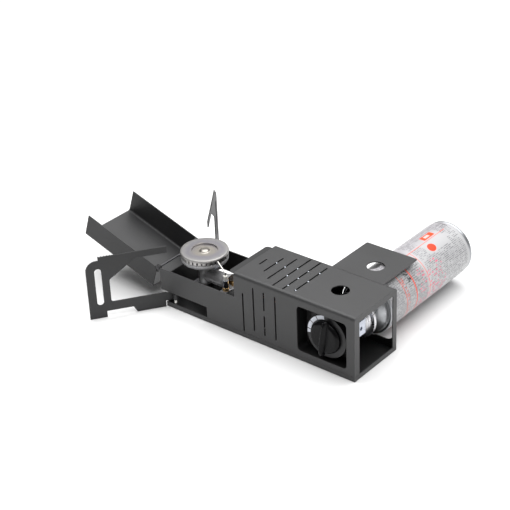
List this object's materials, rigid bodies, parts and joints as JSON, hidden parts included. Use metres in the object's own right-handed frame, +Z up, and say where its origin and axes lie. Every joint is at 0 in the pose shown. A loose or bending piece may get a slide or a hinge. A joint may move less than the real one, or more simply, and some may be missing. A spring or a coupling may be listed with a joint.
{
  "type": "camping stove",
  "caption": "Folding butane camping stove: slotted sheet-metal body with an opened burner bay, fold-out pan arms, dial control, sliding shield and a cartridge behind.",
  "frame": {"origin": "centre of the body's bottom face, in the plane that the stove stands on", "axes": "+X along the body towards its open gas-bay end, +Y to the back where the cartridge lies, +Z up"},
  "size_m": [0.4016, 0.324, 0.0834],
  "materials": {
    "sheet_black": "satin charcoal powder coat",
    "sheet_dark": "matt dark grey powder coat",
    "panel_grey": "matt grey",
    "print_white": "printed ink",
    "knob_black": "gloss",
    "steel": "bright zinc plate",
    "nylon_white": "matt",
    "diecast": "die-cast, tumbled",
    "rubber": "matt",
    "piezo_white": "matt",
    "lead_red": "silicone sleeve",
    "copper": "drawn tube",
    "brass": "machined",
    "cast_grey": "light grey cast",
    "stainless": "heat tinted",
    "ceramic": "glazed",
    "can_print": "printed tinplate",
    "tin": "tinplate"
  },
  "bodies": {
    "body": {"top_shell": "sheet_black", "end_frame": "sheet_black", "bottom_tray": "sheet_black", "bay_wall": "sheet_dark", "control_panel": "panel_grey", "dial_marks": "print_white", "regulator_bracket": "steel", "regulator_body": "diecast", "regulator_socket": "diecast", "socket_seal": "rubber", "bracket_screws": "steel", "piezo_igniter": "piezo_white", "ignition_lead": "lead_red", "lead_clips": "nylon_white", "gas_pipe": "copper", "union_nuts": "brass", "jet_nozzle": "brass", "burner_body": "cast_grey", "burner_cap": "stainless", "burner_bridge": "steel", "burner_screws": "steel", "electrode_holder": "steel", "electrode_gland": "brass", "electrode_sleeve": "steel", "electrode_insulator": "ceramic", "igniter_electrode": "stainless", "ignition_target": "steel", "lid_hinge_rod": "steel", "front_arm_pin": "steel", "rear_arm_pin": "steel", "front_pin_support": "steel", "rear_pin_support": "steel", "shield_guides": "steel"},
    "knob": {"control_knob": "knob_black", "valve_spindle": "steel", "igniter_cam": "nylon_white"},
    "lid": {"burner_lid": "sheet_black"},
    "front_arm": {"front_arm": "sheet_dark"},
    "rear_arm": {"rear_arm": "sheet_dark"},
    "shield": {"heat_shield": "sheet_black"},
    "cartridge": {"cartridge_shell": "can_print", "cartridge_shoulder": "tin", "cartridge_base": "tin", "cartridge_valve": "tin"}
  },
  "joints": [
    {"name": "lid_fold", "type": "hinge", "parent": "body", "child": "lid", "pos_m": [-0.142, 0, 0.048], "axis": [0, 1, 0], "range_deg": [0, 161.7]},
    {"name": "front_arm_fold", "type": "hinge", "parent": "body", "child": "front_arm", "pos_m": [-0.1202, -0.0355, 0], "axis": [0, 0, 1], "range_deg": [0, 125.1]},
    {"name": "rear_arm_fold", "type": "hinge", "parent": "body", "child": "rear_arm", "pos_m": [-0.1202, 0.0355, 0], "axis": [0, 0, 1], "range_deg": [-125.1, 0]},
    {"name": "knob_turn", "type": "hinge", "parent": "body", "child": "knob", "pos_m": [0.0995, -0.04, 0.041], "axis": [0, -1, 0], "range_deg": [0, 105]},
    {"name": "shield_slide", "type": "slide", "parent": "body", "child": "shield", "axis": [0, 1, 0], "range_m": [-0.067, 0]},
    {"name": "cartridge_pull", "type": "slide", "parent": "body", "child": "cartridge", "axis": [0, 1, 0], "range_m": [0, 0.15]}
  ],
  "couplings": [
    {"joint": "front_arm_fold", "follows": "lid_fold", "ratio": 0.77304},
    {"joint": "rear_arm_fold", "follows": "lid_fold", "ratio": -0.77304}
  ]
}
